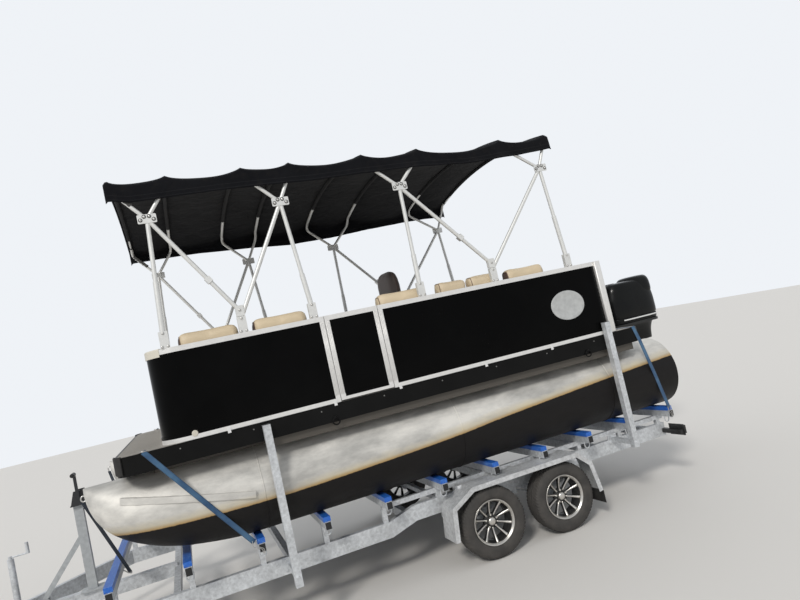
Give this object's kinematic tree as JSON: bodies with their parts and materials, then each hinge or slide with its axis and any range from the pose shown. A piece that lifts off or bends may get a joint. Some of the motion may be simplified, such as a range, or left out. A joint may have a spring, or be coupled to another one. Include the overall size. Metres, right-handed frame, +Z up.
{
  "type": "pontoon boat on trailer",
  "caption": "Canopied pontoon boat with fenced deck and outboard motor, strapped to a tandem-axle bunk trailer.",
  "frame": {"origin": "centre of the footprint at ground level", "axes": "+X towards the bow and the trailer coupling, +Y to port, +Z up"},
  "size_m": [7.4019, 2.575, 3.628],
  "materials": {
    "tube_aluminium": "satin",
    "frame_aluminium": "satin",
    "black_panel": "gloss",
    "deck_cover": "matte",
    "brown_vinyl": "satin",
    "beige_vinyl": "satin",
    "canopy_fabric": "matte",
    "black_paint": "gloss",
    "cast_metal": "matte",
    "galvanised": "satin",
    "blue_plastic": "satin",
    "tyre_rubber": "matte",
    "rim_paint": "satin",
    "flap_rubber": "matte",
    "lamp_plastic": "gloss",
    "strap_webbing": "matte"
  },
  "bodies": {
    "root": {"axles": "galvanised", "bench_bases": "brown_vinyl", "bow_cushions": "beige_vinyl", "bunk_frame": "galvanised", "canopy_bows": "frame_aluminium", "canopy_cover": "canopy_fabric", "canopy_legs": "frame_aluminium", "coupling": "galvanised", "deck": "deck_cover", "deck_fascia": "black_panel", "fence_frame_port_front": "frame_aluminium", "fence_frame_port_rear": "frame_aluminium", "fence_frame_starboard": "frame_aluminium", "fence_panels": "black_panel", "guide_posts": "galvanised", "helm_chair_cushions": "beige_vinyl", "helm_chair_pedestal": "frame_aluminium", "helm_console": "brown_vinyl", "jockey_leg": "galvanised", "leaf_springs": "galvanised", "motor_pod": "frame_aluminium", "mud_flaps": "flap_rubber", "mudguards": "galvanised", "outboard_clamp": "black_paint", "pontoon_port": "tube_aluminium", "pontoon_starboard": "tube_aluminium", "rear_lamps": "lamp_plastic", "skids": "blue_plastic", "stern_cushions": "beige_vinyl", "tie_straps": "strap_webbing", "trailer_chassis": "galvanised", "under_deck_frame": "frame_aluminium", "winch_post": "galvanised"},
    "wheel_front_port": {"tyre_front_port": "tyre_rubber", "rim_front_port": "rim_paint"},
    "wheel_front_starboard": {"tyre_front_starboard": "tyre_rubber", "rim_front_starboard": "rim_paint"},
    "wheel_rear_port": {"tyre_rear_port": "tyre_rubber", "rim_rear_port": "rim_paint"},
    "wheel_rear_starboard": {"tyre_rear_starboard": "tyre_rubber", "rim_rear_starboard": "rim_paint"},
    "gate_port": {"gate_port_frame": "frame_aluminium", "gate_port_panel": "black_panel"},
    "gate_bow": {"gate_bow_frame": "frame_aluminium", "gate_bow_panel": "black_panel"},
    "gate_stern": {"gate_stern_frame": "frame_aluminium", "gate_stern_panel": "black_panel"},
    "helm_wheel": {"helm_wheel": "flap_rubber"},
    "outboard_swivel": {"outboard_swivel": "black_paint"},
    "outboard_head": {"outboard_leg": "black_paint", "outboard_cowl": "black_paint", "powerhead": "cast_metal"},
    "propeller": {"propeller": "black_paint"},
    "jockey_fork": {"jockey_fork": "galvanised"},
    "jockey_wheel": {"jockey_wheel": "tyre_rubber"}
  },
  "joints": [
    {"name": "spin_front_port", "type": "hinge", "parent": "root", "child": "wheel_front_port", "pos_m": [-0.508, 1.125, 0.295], "axis": [0, 1, 0], "continuous": true},
    {"name": "spin_front_starboard", "type": "hinge", "parent": "root", "child": "wheel_front_starboard", "pos_m": [-0.508, -1.125, 0.295], "axis": [0, 1, 0], "continuous": true},
    {"name": "spin_rear_port", "type": "hinge", "parent": "root", "child": "wheel_rear_port", "pos_m": [-1.21, 1.125, 0.295], "axis": [0, 1, 0], "continuous": true},
    {"name": "spin_rear_starboard", "type": "hinge", "parent": "root", "child": "wheel_rear_starboard", "pos_m": [-1.21, -1.125, 0.295], "axis": [0, 1, 0], "continuous": true},
    {"name": "swing_gate_port", "type": "hinge", "parent": "root", "child": "gate_port", "pos_m": [0.534, 1.174, 1.9], "axis": [0, 0, 1], "range_deg": [0, 88]},
    {"name": "swing_gate_bow", "type": "hinge", "parent": "root", "child": "gate_bow", "pos_m": [1.806, 0.33, 1.9], "axis": [0, 0, 1], "range_deg": [-88, 0]},
    {"name": "swing_gate_stern", "type": "hinge", "parent": "root", "child": "gate_stern", "pos_m": [-2.064, -0.72, 1.9], "axis": [0, 0, 1], "range_deg": [-88, 0]},
    {"name": "turn_helm", "type": "hinge", "parent": "root", "child": "helm_wheel", "pos_m": [-0.015, -0.8, 2.17], "axis": [-0.8944, 0, 0.4472], "range_deg": [-540, 540]},
    {"name": "tilt_outboard", "type": "hinge", "parent": "root", "child": "outboard_swivel", "pos_m": [-2.975, 0, 1.455], "axis": [0, 1, 0], "range_deg": [0, 65]},
    {"name": "steer_outboard", "type": "hinge", "parent": "outboard_swivel", "child": "outboard_head", "pos_m": [-3.075, 0, 1.3], "axis": [0, 0, 1], "range_deg": [-30, 30]},
    {"name": "spin_propeller", "type": "hinge", "parent": "outboard_head", "child": "propeller", "pos_m": [-3.375, 0, 0.7], "axis": [1, 0, 0], "continuous": true},
    {"name": "swivel_jockey", "type": "hinge", "parent": "root", "child": "jockey_fork", "pos_m": [3.12, 0.15, 0.3], "axis": [0, 0, 1], "continuous": true},
    {"name": "spin_jockey_wheel", "type": "hinge", "parent": "jockey_fork", "child": "jockey_wheel", "pos_m": [3.075, 0.15, 0.1], "axis": [0, 1, 0], "continuous": true}
  ],
  "couplings": [
    {"joint": "turn_helm", "follows": "steer_outboard", "ratio": 16}
  ]
}
